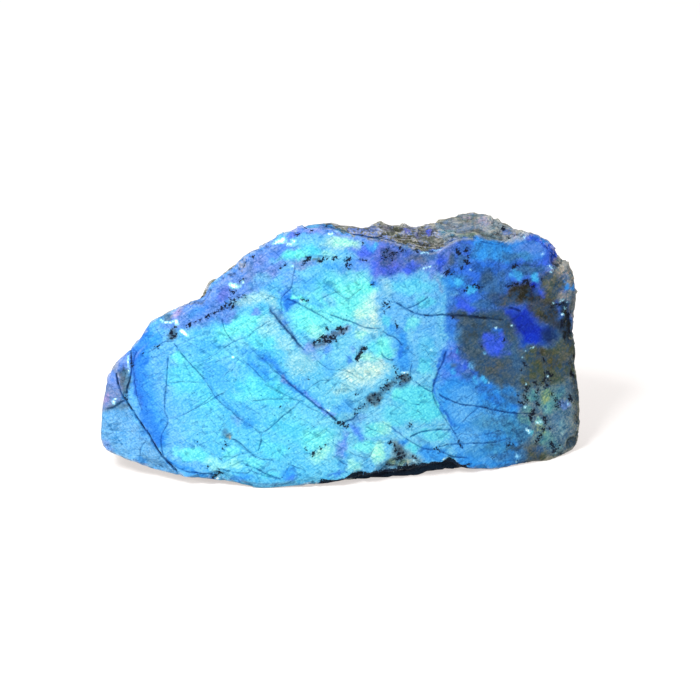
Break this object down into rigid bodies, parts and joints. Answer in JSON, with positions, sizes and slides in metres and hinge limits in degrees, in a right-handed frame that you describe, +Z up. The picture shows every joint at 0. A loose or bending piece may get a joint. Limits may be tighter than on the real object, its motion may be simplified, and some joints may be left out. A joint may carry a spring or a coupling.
{
  "type": "rough labradorite chunk",
  "caption": "Rough chunk of labradorite feldspar with one ground, gently domed front face, broken ledged sides and a levelled underside to rest on.",
  "frame": {"origin": "middle of the bounding box at the height of the underside", "axes": "+Z up from the floor, +X along the length from the pointed end to the blunt end, -Y out of the ground front face"},
  "size_m": [0.1202, 0.0524, 0.066],
  "materials": {
    "labradorite": "satin"
  },
  "bodies": {
    "root": {"labradorite_chunk": "labradorite"}
  },
  "joints": []
}
